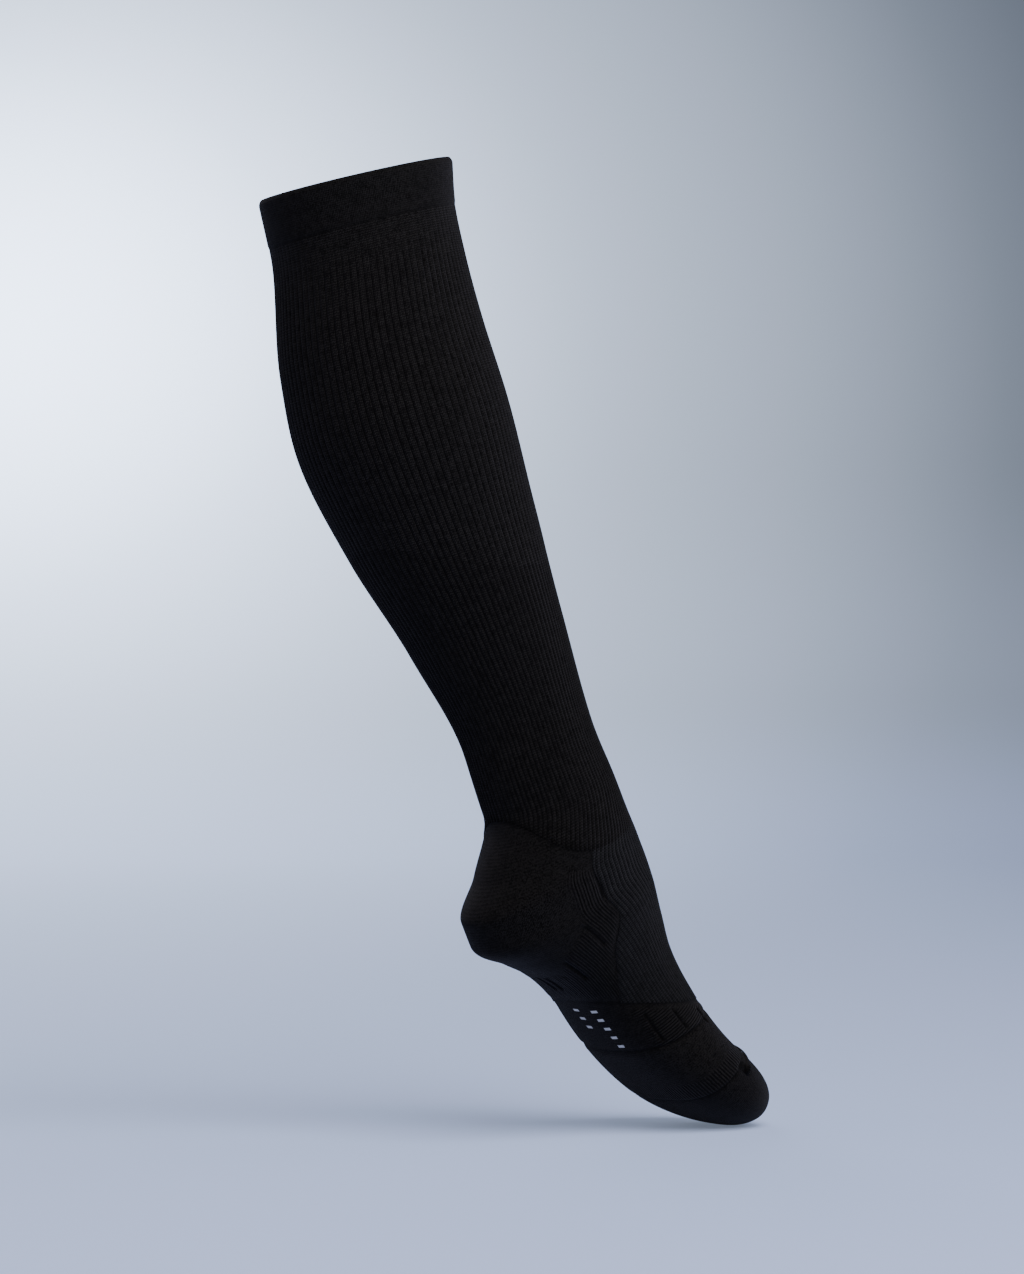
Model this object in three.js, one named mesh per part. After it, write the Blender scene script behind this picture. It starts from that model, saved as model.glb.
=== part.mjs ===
// A knee-high compression stocking for the left foot, on tiptoe and leaning back, hollow and filled out.
// Millimetres. +X points to the toes, +Y to the outer side of the leg, +Z up. The origin is the centre of
// the top opening. The cloth is one knitted tube: every zone of it is a wall on the same surface.
import * as THREE from 'three';

// Sizes of the whole stocking
const weltHeight = 26;
const ribCount = 88;
const seamGap = 0.32;
const toeLength = 56;

// Wall thickness of each kind of knit, and how far the relief on it stands proud
const legWall = 1.6;
const weltWall = 2.2;
const plushWall = 2.2;
const weltProud = 0.4;
const ribHeight = 0.55;
const padHeight = 0.7;

// The sections of the tube, from the top opening to the toes. Each is a ring round the spine.
// at: distance down the spine. tilt: how far the ring's front is raised. lean: how far the ring is tipped
// to the outer side. front, back, medial, lateral: reach from the spine. square: 2 is an ellipse.
const sections = [
  { at: 0, tilt: 12, lean: 6, front: 50, back: 55, medial: 52, lateral: 52, square: 2 },
  { at: 28, tilt: 12.5, lean: 7, front: 45, back: 56, medial: 50, lateral: 51, square: 2 },
  { at: 90, tilt: 15, lean: 9, front: 41, back: 71, medial: 54, lateral: 55, square: 2 },
  { at: 130, tilt: 15.5, lean: 9.5, front: 40, back: 76, medial: 57, lateral: 57, square: 2 },
  { at: 190, tilt: 15.5, lean: 9.5, front: 37, back: 67, medial: 50, lateral: 50, square: 2 },
  { at: 250, tilt: 15.5, lean: 9, front: 36, back: 50, medial: 40, lateral: 39, square: 2 },
  { at: 310, tilt: 16, lean: 8, front: 36, back: 38, medial: 32, lateral: 31, square: 2 },
  { at: 341, tilt: 20, lean: 6, front: 38, back: 38, medial: 33, lateral: 32, square: 2 },
  { at: 366, tilt: 24, lean: 3, front: 39, back: 60, medial: 36, lateral: 33, square: 2 },
  { at: 380, tilt: 26, lean: 2, front: 40, back: 78, medial: 37, lateral: 33, square: 2.1 },
  { at: 392, tilt: 28, lean: 1, front: 40, back: 78, medial: 36, lateral: 33, square: 2.2 },
  { at: 408, tilt: 30, lean: 1, front: 38, back: 63, medial: 35, lateral: 36, square: 2.3 },
  { at: 430, tilt: 31, lean: 1, front: 33, back: 45, medial: 31, lateral: 40, square: 2.4 },
  { at: 451, tilt: 32, lean: 1, front: 28, back: 36, medial: 29, lateral: 43, square: 2.4 },
  { at: 481, tilt: 38, lean: 1, front: 25, back: 30, medial: 33, lateral: 47, square: 2.4 },
  { at: 515, tilt: 50, lean: 1, front: 22, back: 25, medial: 37, lateral: 48, square: 2.4 },
  { at: 545, tilt: 63, lean: 1, front: 21, back: 22, medial: 36, lateral: 43, square: 2.4 },
  { at: 576, tilt: 72, lean: 1, front: 20, back: 21, medial: 32, lateral: 38, square: 2.3 },
];
const tip = sections[sections.length - 1].at;

// Smooth curve through one column of a table, which never overshoots its rows
function smooth(rows, by, name) {
  const xs = rows.map((row) => row[by]);
  const ys = rows.map((row) => row[name]);
  const chord = (i) => (ys[i + 1] - ys[i]) / (xs[i + 1] - xs[i]);
  const slopes = xs.map((_, i) => {
    if (i === 0) return chord(0);
    if (i === xs.length - 1) return chord(i - 1);
    const before = chord(i - 1);
    const after = chord(i);
    return before * after <= 0 ? 0 : (2 * before * after) / (before + after);
  });
  return (value) => {
    const x = Math.min(Math.max(value, xs[0]), xs[xs.length - 1]);
    let i = 0;
    while (i < xs.length - 2 && x > xs[i + 1]) i += 1;
    const span = xs[i + 1] - xs[i];
    const t = (x - xs[i]) / span;
    const rise = (ys[i + 1] - ys[i]) * t * t * (3 - 2 * t);
    return ys[i] + rise + span * t * (1 - t) * ((1 - t) * slopes[i] - t * slopes[i + 1]);
  };
}

const degree = Math.PI / 180;
const size = Object.fromEntries(
  ['tilt', 'lean', 'front', 'back', 'medial', 'lateral', 'square'].map(
    (name) => [name, smooth(sections, 'at', name)],
  ),
);

// The ring's own directions at a place down the spine: to the front, to the medial side, and onwards
function directions(at) {
  const tilt = size.tilt(at) * degree;
  const lean = size.lean(at) * degree;
  const ahead = new THREE.Vector3(
    Math.sin(tilt) * Math.cos(lean),
    -Math.sin(lean),
    -Math.cos(tilt) * Math.cos(lean),
  );
  const front = new THREE.Vector3(Math.cos(tilt), 0, Math.sin(tilt));
  const medial = new THREE.Vector3().crossVectors(front, ahead);
  if (medial.y > 0) medial.negate();
  return { ahead, front, medial };
}

// The spine, summed from the directions in short steps
const spineStep = 1;
const spine = [new THREE.Vector3(0, 0, 0)];
for (let at = 0; at < tip; at += spineStep) {
  const next = directions(at + spineStep / 2).ahead.multiplyScalar(spineStep);
  spine.push(spine[spine.length - 1].clone().add(next));
}
function spinePoint(at) {
  const place = Math.min(Math.max(at, 0), tip) / spineStep;
  const i = Math.min(Math.floor(place), spine.length - 2);
  return spine[i].clone().lerp(spine[i + 1], place - i);
}

// The toe closes in a round end: the rings' sizes shrink to nothing at the tip
const toeFullness = 2.6;
const toeBluntness = 2.2;
function toeRounding(at) {
  const past = Math.max(0, (at - (tip - toeLength)) / toeLength);
  return Math.pow(Math.max(0, 1 - Math.pow(past, toeFullness)), 1 / toeBluntness);
}

// A ring is drawn round a centre that lies behind the spine, by this share of the way to its middle
const centring = 0.85;
const setBack = (at) => (centring * (size.back(at) - size.front(at))) / 2;

function ringRadius(at, angle) {
  const across = Math.cos(angle);
  const side = Math.sin(angle);
  const depth = across > 0 ? size.front(at) + setBack(at) : size.back(at) - setBack(at);
  const width = side > 0 ? size.medial(at) : size.lateral(at);
  const power = across > 0 ? 2 : size.square(at);
  const sum = Math.pow(Math.abs(across) / depth, power) + Math.pow(Math.abs(side) / width, power);
  return Math.pow(sum, -1 / power) * toeRounding(at);
}

// Angle on a ring for a share of the way round it: 0 front, 0.25 medial, 0.5 back, 0.75 lateral.
// Equal shares are equal lengths of cloth, so the knit's ribs are evenly spaced.
const halfSteps = 90;
const ringTables = new Map();
function ringTable(at) {
  const key = Math.round(at * 50);
  if (!ringTables.has(key)) {
    const place = Math.min(key / 50, tip - toeLength);
    const halves = [0, 1].map((half) => {
      const lengths = [0];
      for (let i = 1; i <= halfSteps; i += 1) {
        const a = Math.PI * (half + (i - 1) / halfSteps);
        const b = Math.PI * (half + i / halfSteps);
        const ra = ringRadius(place, a);
        const rb = ringRadius(place, b);
        const dx = rb * Math.cos(b) - ra * Math.cos(a);
        const dy = rb * Math.sin(b) - ra * Math.sin(a);
        lengths.push(lengths[i - 1] + Math.hypot(dx, dy));
      }
      return lengths;
    });
    ringTables.set(key, halves);
  }
  return ringTables.get(key);
}
function ringAngle(at, share) {
  const turn = share - Math.floor(share);
  const half = turn < 0.5 ? 0 : 1;
  const lengths = ringTable(at)[half];
  const wanted = (turn * 2 - half) * lengths[halfSteps];
  let i = 0;
  while (i < halfSteps - 1 && lengths[i + 1] < wanted) i += 1;
  const part = (wanted - lengths[i]) / (lengths[i + 1] - lengths[i]);
  return Math.PI * (half + (i + part) / halfSteps);
}

// A point of the cloth's outer face
function surface(at, share) {
  const angle = ringAngle(at, share);
  const radius = ringRadius(at, angle);
  const { front, medial } = directions(at);
  const centre = setBack(at) * toeRounding(at);
  return spinePoint(at)
    .addScaledVector(front, radius * Math.cos(angle) - centre)
    .addScaledVector(medial, radius * Math.sin(angle));
}

// The same point moved out (or in) along the cloth's normal
function cloth(at, share, out) {
  const along = 0.5;
  const turn = 0.004;
  const down = surface(at + along, share).sub(surface(at - along, share));
  const round = surface(at, share + turn).sub(surface(at, share - turn));
  const normal = new THREE.Vector3().crossVectors(down, round).normalize();
  const point = surface(at, share);
  const outward = point.clone().sub(spinePoint(at)).addScaledVector(directions(at).front, setBack(at));
  if (normal.dot(outward) < 0) normal.negate();
  return point.addScaledVector(normal, out);
}

// The toe's very tip, moved out (or in) along the spine
function pole(out) {
  return spinePoint(tip).addScaledVector(directions(tip).ahead, out);
}

// Joins two chains of points that run side by side, by their share of the way along
function stitch(triangles, chainA, chainB) {
  let a = 0;
  let b = 0;
  const lastA = chainA.length - 1;
  const lastB = chainB.length - 1;
  while (a < lastA || b < lastB) {
    const nextA = a < lastA ? (a + 1) / lastA : 2;
    const nextB = b < lastB ? (b + 1) / lastB : 2;
    if (nextA <= nextB) {
      triangles.push([chainA[a], chainA[a + 1], chainB[b]]);
      a += 1;
    } else {
      triangles.push([chainA[a], chainB[b + 1], chainB[b]]);
      b += 1;
    }
  }
}

// One zone of the tube as a closed wall. from and to give the zone's ends as a place down the spine for
// each share of the way round. A full band closes on itself; a panel has borders that vary along it.
function wall(zone) {
  const points = [];
  const triangles = [];
  const closed = !zone.borders;
  const spacing = zone.spacing || ((v) => v);
  const layer = (columns, rows, out) => {
    const grid = [];
    for (let r = 0; r <= rows; r += 1) {
      const v = spacing(r / rows);
      const [start, end] = closed ? [0, 1] : zone.borders(v);
      const line = [];
      const atPole = zone.pole && r === rows;
      for (let c = 0; c <= columns; c += 1) {
        if ((closed && c === columns) || (atPole && c > 0)) {
          line.push(line[0]);
        } else {
          const share = start + ((end - start) * c) / columns;
          const at = zone.from(share) + (zone.to(share) - zone.from(share)) * v;
          line.push(points.length);
          points.push(atPole ? pole(out(at, share, c, v)) : cloth(at, share, out(at, share, c, v)));
        }
      }
      grid.push(line);
    }
    return grid;
  };
  const outer = layer(zone.columns, zone.rows, zone.relief || (() => 0));
  const inner = layer(zone.innerColumns || zone.columns, zone.rows, () => -zone.wall);
  const skin = (grid, flip) => {
    for (let r = 0; r + 1 < grid.length; r += 1) {
      for (let c = 0; c + 1 < grid[r].length; c += 1) {
        const [p, q] = [grid[r][c], grid[r][c + 1]];
        const [s, t] = [grid[r + 1][c], grid[r + 1][c + 1]];
        const pair = s === t ? [[p, q, t]] : [[p, q, t], [p, t, s]];
        for (const face of pair) triangles.push(flip ? face.reverse() : face);
      }
    }
  };
  skin(outer, false);
  skin(inner, true);
  const first = [];
  stitch(first, outer[0], inner[0]);
  for (const face of first) triangles.push(face.reverse());
  if (!zone.pole) {
    const last = [];
    stitch(last, outer[outer.length - 1], inner[inner.length - 1]);
    for (const face of last) triangles.push(face);
  }
  if (!closed) {
    const edge = (grid, c) => grid.map((line) => line[c < 0 ? line.length - 1 : c]);
    const left = [];
    stitch(left, edge(outer, 0), edge(inner, 0));
    for (const face of left) triangles.push(face);
    const right = [];
    stitch(right, edge(outer, -1), edge(inner, -1));
    for (const face of right) triangles.push(face.reverse());
  }
  return solid(points, triangles);
}

function solid(points, triangles) {
  const geometry = new THREE.BufferGeometry();
  geometry.setAttribute('position', new THREE.Float32BufferAttribute(points.flatMap((p) => p.toArray()), 3));
  geometry.setIndex(triangles.flat());
  return geometry;
}

const stocking = new THREE.Group();
function piece(name, geometry, color, roughness) {
  const material = new THREE.MeshStandardMaterial({ color, roughness, metalness: 0 });
  const mesh = new THREE.Mesh(geometry, material);
  mesh.name = name;
  stocking.add(mesh);
}

// Where one zone of the tube ends and the next begins, as a place down the spine. At the tube's front a
// line lies at front, and at its back it is higher by rise: the higher the power, the later it climbs.
const zoneLines = {
  calf: { front: 224, rise: 36, power: 3 },
  ankle: { front: 373, rise: 30, power: 3 },
  arch: { front: 490, rise: 44, power: 1 },
  ball: { front: 494, rise: 13, power: 1 },
  toe: { front: 530, rise: 10, power: 1 },
};
const backness = (share) => (1 - Math.cos(share * 2 * Math.PI)) / 2;
const zoneLine = ({ front, rise, power }) => (share) => front - rise * backness(share) ** power;
const calfLine = zoneLine(zoneLines.calf);
const ankleLine = zoneLine(zoneLines.ankle);
const archLine = zoneLine(zoneLines.arch);
const ballLine = zoneLine(zoneLines.ball);
const toeLine = zoneLine(zoneLines.toe);

// The heel cup's border on the medial side, mirrored on the lateral side
const heelBorders = [
  { down: 0, share: 0.25 },
  { down: 0.3, share: 0.235 },
  { down: 0.6, share: 0.3 },
  { down: 1, share: 0.37 },
];
const heelBorder = smooth(heelBorders, 'down', 'share');
const borderGap = 0.0007;

const half = seamGap / 2;
const level = (at) => () => at;
const shifted = (line, by) => (share) => line(share) + by;
const ramp = (value, start, end) => Math.min(Math.max((value - start) / (end - start), 0), 1);
const plateau = (value, start, end, edge) => (
  ramp(value, start, start + edge) * (1 - ramp(value, end - edge, end))
);

// Every second column of a ribbed zone stands proud. Under the welt the ribs are shallow.
const ribsFullAt = 52;
const shallowest = 0.4;
const ribs = (at, share, column) => {
  const depth = shallowest + (1 - shallowest) * ramp(at, weltHeight, ribsFullAt);
  return column % 2 === 0 ? 0 : ribHeight * depth;
};

// Padding knitted into the plush: a band down each side of the heel, and the ball with a pad at each side
const heelPad = { width: 0.09, edge: 0.015, top: 0.03, bottom: 0.97, fade: 0.08 };
const sidePads = (at, share, column, down) => {
  const inward = Math.min(share - heelBorder(down), 1 - heelBorder(down) - share);
  const across = plateau(inward, 0, heelPad.width, heelPad.edge);
  return padHeight * across * plateau(down, heelPad.top, heelPad.bottom, heelPad.fade);
};
const ballPad = { start: 0.17, end: 0.33, edge: 0.02, rise: 4 };
const ballPads = (at, share) => {
  const side = Math.min(share, 1 - share);
  const across = plateau(side, ballPad.start, ballPad.end, ballPad.edge);
  const pads = across * ramp(at, archLine(share), archLine(share) + ballPad.rise);
  return padHeight * Math.max(pads, ramp(at, ballLine(share), ballLine(share) + ballPad.rise));
};

// The toe seam lies across the toes past the toe line. Its ends are thick, where the knitting is gathered.
const seam = { start: 5, end: 8, reach: 0.225, height: 1.4, nub: 1.2, nubLength: 0.04, nubEdge: 0.01 };
const seamRelief = (at, share) => {
  const nub = ramp(Math.abs(share), seam.reach - seam.nubLength - seam.nubEdge, seam.reach - seam.nubEdge);
  return padHeight + seam.height + seam.nub * nub;
};

piece('welt', wall({
  from: level(0), to: level(weltHeight - half), columns: 64, rows: 3, wall: weltWall,
  relief: level(weltProud),
}), '#15161a', 0.95);
piece('calf', wall({
  from: level(weltHeight + half), to: shifted(calfLine, -half), columns: ribCount * 2, rows: 6,
  innerColumns: 48, wall: legWall, relief: ribs,
}), '#131418', 0.95);
piece('lower_leg', wall({
  from: shifted(calfLine, half), to: shifted(ankleLine, -half), columns: ribCount * 2, rows: 6,
  innerColumns: 48, wall: legWall, relief: ribs,
}), '#131418', 0.95);
piece('heel', wall({
  from: shifted(ankleLine, half), to: shifted(archLine, -half), columns: 36, rows: 11,
  innerColumns: 24, wall: plushWall, relief: sidePads,
  borders: (down) => [heelBorder(down) + borderGap, 1 - heelBorder(down) - borderGap],
}), '#0f1013', 0.98);
piece('instep', wall({
  from: shifted(ankleLine, half), to: shifted(archLine, -half), columns: ribCount, rows: 11,
  innerColumns: 24, wall: legWall, relief: ribs,
  borders: (down) => [-heelBorder(down) + borderGap, heelBorder(down) - borderGap],
}), '#1a1c22', 0.93);
piece('forefoot', wall({
  from: shifted(archLine, half), to: shifted(toeLine, -half), columns: 60, rows: 10,
  innerColumns: 40, wall: plushWall, relief: ballPads,
}), '#121317', 0.97);
piece('toe', wall({
  from: shifted(toeLine, half), to: level(tip), columns: 48, rows: 9, innerColumns: 36, wall: plushWall,
  relief: level(padHeight), pole: true, spacing: (v) => Math.sin((v * Math.PI) / 2),
}), '#101114', 0.98);
piece('toe_seam', wall({
  from: shifted(toeLine, seam.start), to: shifted(toeLine, seam.end), columns: 36, rows: 1,
  wall: -(padHeight + seamGap), relief: seamRelief, borders: level([-seam.reach, seam.reach]),
}), '#0b0c0f', 0.95);

export default stocking;
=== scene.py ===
import math

import bmesh
import bpy
import numpy as np
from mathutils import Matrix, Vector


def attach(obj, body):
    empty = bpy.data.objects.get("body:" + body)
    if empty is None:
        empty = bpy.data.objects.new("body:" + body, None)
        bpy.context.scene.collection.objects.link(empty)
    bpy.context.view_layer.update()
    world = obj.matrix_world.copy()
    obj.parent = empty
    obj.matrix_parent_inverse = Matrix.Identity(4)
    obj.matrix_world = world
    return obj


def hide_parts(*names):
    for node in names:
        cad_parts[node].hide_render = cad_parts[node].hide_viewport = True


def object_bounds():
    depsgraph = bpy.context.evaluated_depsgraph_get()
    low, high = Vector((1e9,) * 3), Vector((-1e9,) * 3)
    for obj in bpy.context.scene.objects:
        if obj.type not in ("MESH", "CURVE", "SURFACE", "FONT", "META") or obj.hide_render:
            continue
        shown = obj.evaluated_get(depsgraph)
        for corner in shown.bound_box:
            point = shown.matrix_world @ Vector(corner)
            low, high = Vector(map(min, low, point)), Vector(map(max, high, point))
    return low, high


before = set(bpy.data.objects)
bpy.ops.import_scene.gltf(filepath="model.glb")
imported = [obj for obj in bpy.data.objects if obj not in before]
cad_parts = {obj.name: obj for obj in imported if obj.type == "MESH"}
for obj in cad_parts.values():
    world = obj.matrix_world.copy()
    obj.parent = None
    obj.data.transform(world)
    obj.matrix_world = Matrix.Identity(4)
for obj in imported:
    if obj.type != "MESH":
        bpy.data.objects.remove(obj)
cad_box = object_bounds()

# Camera. It looks level at the inner side of the leg and a little from behind, from 2.5 m away.
# The picture is 1024 by 1274, and it takes in 675 mm of height at the stocking.
camera_turn = math.radians(40)
camera_distance = 2.5
picture_height_at_stocking = 0.675
aim_right_of_opening = 0.0813
aim_below_opening = 0.2429
sensor_size = 0.024
view_right = np.array([math.cos(camera_turn), -math.sin(camera_turn), 0.0])
view_back = np.array([-math.sin(camera_turn), -math.cos(camera_turn), 0.0])
camera_place = aim_right_of_opening * view_right + camera_distance * view_back
camera_data = bpy.data.cameras.new("camera")
camera_data.sensor_fit = "VERTICAL"
camera_data.lens = 1000 * sensor_size * camera_distance / picture_height_at_stocking
camera_data.sensor_height = 1000 * sensor_size
camera_data.clip_end = 50
camera = bpy.data.objects.new("camera", camera_data)
bpy.context.scene.collection.objects.link(camera)
camera.location = (camera_place[0], camera_place[1], -aim_below_opening)
camera.rotation_euler = (math.radians(90), 0, -camera_turn)
bpy.context.scene.camera = camera

# Welt. The plain top band of nylon and elastic yarn is knitted double and turned over, so its edge is
# round and soft. The whole stocking is knitted on from it as one tube, and this is the tube's first
# stretch, so the tube's sizes and the way its cloth is laid out are here.
MM = 0.001
welt_height = 26 * MM
welt_thickness = 2.0 * MM
welt_proud = 0.5 * MM
edge_roll = 1.5 * MM
edge_roll_reach = 3.2 * MM
hem_step = 0.4 * MM
hem_reach = 3 * MM
hem_line_width = 1.2 * MM
# How dark the painted shade is along the lines where pieces join.
join_shade = 0.35
ribs_round = 88
leg_wall = 1.6 * MM
plush_wall = 2.2 * MM
knit_join = 0.02 * MM
toe_length = 56 * MM
tube_columns = ("at", "tilt", "lean", "front", "back", "medial", "lateral", "square")
tube_rows = np.array([
    (0, 12, 6, 50, 55, 52, 52, 2),
    (28, 12.5, 7, 45, 56, 50, 51, 2),
    (90, 15, 9, 41, 71, 54, 55, 2),
    (130, 15.5, 9.5, 40, 76, 57, 57, 2),
    (190, 15.5, 9.5, 37, 67, 50, 50, 2),
    (250, 15.5, 9, 36, 50, 40, 39, 2),
    (310, 16, 8, 36, 38, 32, 31, 2),
    (341, 20, 6, 38, 38, 33, 32, 2),
    (366, 24, 3, 39, 60, 36, 33, 2),
    (380, 26, 2, 40, 78, 37, 33, 2.1),
    (392, 28, 1, 40, 78, 36, 33, 2.2),
    (408, 30, 1, 38, 63, 35, 36, 2.3),
    (430, 31, 1, 33, 45, 31, 40, 2.4),
    (451, 32, 1, 28, 36, 29, 43, 2.4),
    (481, 38, 1, 25, 30, 33, 47, 2.4),
    (515, 50, 1, 22, 25, 37, 48, 2.4),
    (545, 63, 1, 21, 22, 36, 43, 2.4),
    (576, 72, 1, 20, 21, 32, 38, 2.3),
])
tube_tip = tube_rows[-1, 0] * MM
centring = 0.85
tip_fullness = 2.6
tip_roundness = 2.2
worn_stretch = 1.12
spine_spacing = 1 * MM


def smooth(xs, ys, value):
    """A smooth curve through the rows of a table that never overshoots them."""
    xs = np.asarray(xs, float)
    ys = np.asarray(ys, float)
    x = np.clip(np.asarray(value, float), xs[0], xs[-1])
    chord = np.diff(ys) / np.diff(xs)
    slopes = np.empty(len(xs))
    slopes[0] = chord[0]
    slopes[-1] = chord[-1]
    before = chord[:-1]
    after = chord[1:]
    total = before + after
    slopes[1:-1] = np.where(before * after <= 0, 0, 2 * before * after / np.where(total == 0, 1, total))
    i = np.clip(np.searchsorted(xs, x, side="left") - 1, 0, len(xs) - 2)
    span = xs[i + 1] - xs[i]
    t = (x - xs[i]) / span
    rise = (ys[i + 1] - ys[i]) * t * t * (3 - 2 * t)
    return ys[i] + rise + span * t * (1 - t) * ((1 - t) * slopes[i] - t * slopes[i + 1])


def tube_size(name, at):
    scale = 1 if name in ("tilt", "lean", "square") else MM
    return smooth(tube_rows[:, 0] * MM, tube_rows[:, tube_columns.index(name)] * scale, at)


def ring_directions(at):
    """The ring's own directions: onwards down the tube, to its front, and to its medial side."""
    tilt = np.radians(tube_size("tilt", at))
    lean = np.radians(tube_size("lean", at))
    ahead = np.stack([np.sin(tilt) * np.cos(lean), -np.sin(lean), -np.cos(tilt) * np.cos(lean)], -1)
    front = np.stack([np.cos(tilt), np.zeros_like(tilt), np.sin(tilt)], -1)
    medial = np.cross(front, ahead)
    medial *= -np.sign(medial[..., 1:2])
    return ahead, front, medial


spine_at = np.arange(0, tube_tip + spine_spacing / 2, spine_spacing)
spine_steps = ring_directions(spine_at[:-1] + spine_spacing / 2)[0] * spine_spacing
spine_line = np.vstack([[0, 0, 0], np.cumsum(spine_steps, axis=0)])


def spine_point(at):
    return np.stack([np.interp(at, spine_at, spine_line[:, axis]) for axis in range(3)], -1)


def set_back(at):
    """How far the middle of a ring's cloth lies behind the spine, where the back reaches out more."""
    return centring * (tube_size("back", at) - tube_size("front", at)) / 2


def toe_rounding(at):
    past = np.clip((at - (tube_tip - toe_length)) / toe_length, 0, 1)
    return (1 - past ** tip_fullness) ** (1 / tip_roundness)


def ring_radius(at, angle):
    """How far the cloth reaches from a ring's middle, at an angle from the front towards the medial side."""
    across = np.cos(angle)
    side = np.sin(angle)
    shift = set_back(at)
    depth = np.where(across > 0, tube_size("front", at) + shift, tube_size("back", at) - shift)
    width = np.where(side > 0, tube_size("medial", at), tube_size("lateral", at))
    power = np.where(across > 0, 2, tube_size("square", at))
    total = (np.abs(across) / depth) ** power + (np.abs(side) / width) ** power
    return total ** (-1 / power) * toe_rounding(at)


# Equal shares of the way round a ring are equal lengths of cloth: 0 front, 0.25 medial, 0.5 back.
half_steps = 90
share_marks = np.linspace(0, 1, 2 * half_steps + 1)
share_angles = []
for mark in spine_at:
    place = min(mark, tube_tip - toe_length)
    angles = np.linspace(0, 2 * math.pi, 2 * half_steps + 1)
    radii = ring_radius(np.full_like(angles, place), angles)
    flat_x = radii * np.cos(angles)
    flat_y = radii * np.sin(angles)
    lengths = np.hypot(np.diff(flat_x), np.diff(flat_y))
    first = np.concatenate([[0], np.cumsum(lengths[:half_steps])])
    second = np.concatenate([[0], np.cumsum(lengths[half_steps:])])
    run = np.concatenate([0.5 * first / first[-1], 0.5 + 0.5 * second[1:] / second[-1]])
    share_angles.append(np.interp(share_marks, run, angles))
share_angles = np.array(share_angles)


def ring_angle(at, share):
    """The angle round a ring at which a share of its cloth has passed."""
    turn = share - np.floor(share)
    row = np.clip(at / spine_spacing, 0, len(spine_at) - 1.001)
    column = turn * 2 * half_steps
    r = np.floor(row).astype(int)
    c = np.clip(np.floor(column).astype(int), 0, 2 * half_steps - 1)
    down = row - r
    along = column - c
    upper = share_angles[r, c] * (1 - along) + share_angles[r, c + 1] * along
    lower = share_angles[r + 1, c] * (1 - along) + share_angles[r + 1, c + 1] * along
    return upper * (1 - down) + lower * down


def surface(at, share):
    """A point of the tube, from its place down the spine and its share of the way round."""
    at = np.clip(at, 0, tube_tip)
    angle = ring_angle(at, share)
    radius = ring_radius(at, angle)
    ahead, front, medial = ring_directions(at)
    forward = radius * np.cos(angle) - set_back(at) * toe_rounding(at)
    return spine_point(at) + front * forward[..., None] + medial * (radius * np.sin(angle))[..., None]


def cloth(at, share, out):
    """A point of the cloth's outer face, moved out along its normal."""
    step_down = 0.5 * MM
    step_round = 0.004
    point = surface(at, share)
    down = surface(at + step_down, share) - surface(at - step_down, share)
    around = surface(at, share + step_round) - surface(at, share - step_round)
    normal = np.cross(around, down)
    length = np.linalg.norm(normal, axis=-1, keepdims=True)
    at_tip = length < 1e-12
    normal = np.where(at_tip, ring_directions(at)[0], normal / np.where(at_tip, 1, length))
    return point + normal * np.asarray(out)[..., None]


def knit_panel(name, columns, rows, place, relief, wall, fades=()):
    """Lays a grid over a zone of the tube, and gives it a wall.

    Place says where each point of the grid lies, and relief how far it stands out.
    """
    merge_distance = 0.01 * MM
    sharp_over = math.radians(60)
    bpy.ops.object.select_all(action="DESELECT")
    bpy.ops.mesh.primitive_grid_add(x_subdivisions=columns, y_subdivisions=rows, size=1)
    panel = bpy.context.object
    panel.name = name
    mesh = panel.data
    mesh.name = name
    flat = np.empty(len(mesh.vertices) * 3)
    mesh.vertices.foreach_get("co", flat)
    flat = flat.reshape(-1, 3)
    round_share = np.round((flat[:, 0] + 0.5) * columns) / columns
    down = np.round((flat[:, 1] + 0.5) * rows) / rows
    at, share = place(round_share, down)
    points = cloth(at, share, relief(at, share))
    mesh.vertices.foreach_set("co", points.ravel())
    corner = np.empty(len(mesh.loops), int)
    mesh.loops.foreach_get("vertex_index", corner)
    knit = np.stack([share[corner], at[corner]], -1)
    mesh.uv_layers[0].name = "knit"
    mesh.uv_layers[0].data.foreach_set("uv", knit.ravel())
    for label, fade in fades:
        layer = mesh.attributes.new(label, "FLOAT", "POINT")
        layer.data.foreach_set("value", np.asarray(fade(at, share), float))
    mesh.update()
    bpy.ops.object.mode_set(mode="EDIT")
    bpy.ops.mesh.select_all(action="SELECT")
    bpy.ops.mesh.remove_doubles(threshold=merge_distance)
    bpy.ops.object.mode_set(mode="OBJECT")
    middle = mesh.polygons[len(mesh.polygons) // 2]
    place_at = np.array([at.mean()])
    hub = spine_point(place_at)[0] - ring_directions(place_at)[1][0] * set_back(place_at)[0]
    if np.dot(np.array(middle.normal), np.array(middle.center) - hub) < 0:
        bpy.ops.object.mode_set(mode="EDIT")
        bpy.ops.mesh.select_all(action="SELECT")
        bpy.ops.mesh.flip_normals()
        bpy.ops.object.mode_set(mode="OBJECT")
    solidify = panel.modifiers.new("wall", "SOLIDIFY")
    solidify.thickness = wall
    solidify.offset = -1
    solidify.use_quality_normals = True
    bpy.ops.object.modifier_apply(modifier="wall")
    bpy.ops.object.shade_smooth_by_angle(angle=sharp_over)
    return panel


def band(start, end):
    """The layout of a full ring of cloth between two lines down the tube."""
    def place(round_share, down):
        top = start(round_share)
        return top + (end(round_share) - top) * down, round_share
    return place


def flat_size(start, end, share=1.0):
    """Width and length of a zone laid flat and relaxed: filled out, it is stretched by an eighth each way."""
    points_round = 181
    middle = (start + end) / 2
    around = np.linspace(0, 1, points_round)
    ring = surface(np.full_like(around, middle), around)
    girth = np.linalg.norm(np.diff(ring, axis=0), axis=1).sum()
    return (share * girth / worn_stretch, (end - start) / worn_stretch)


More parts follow.
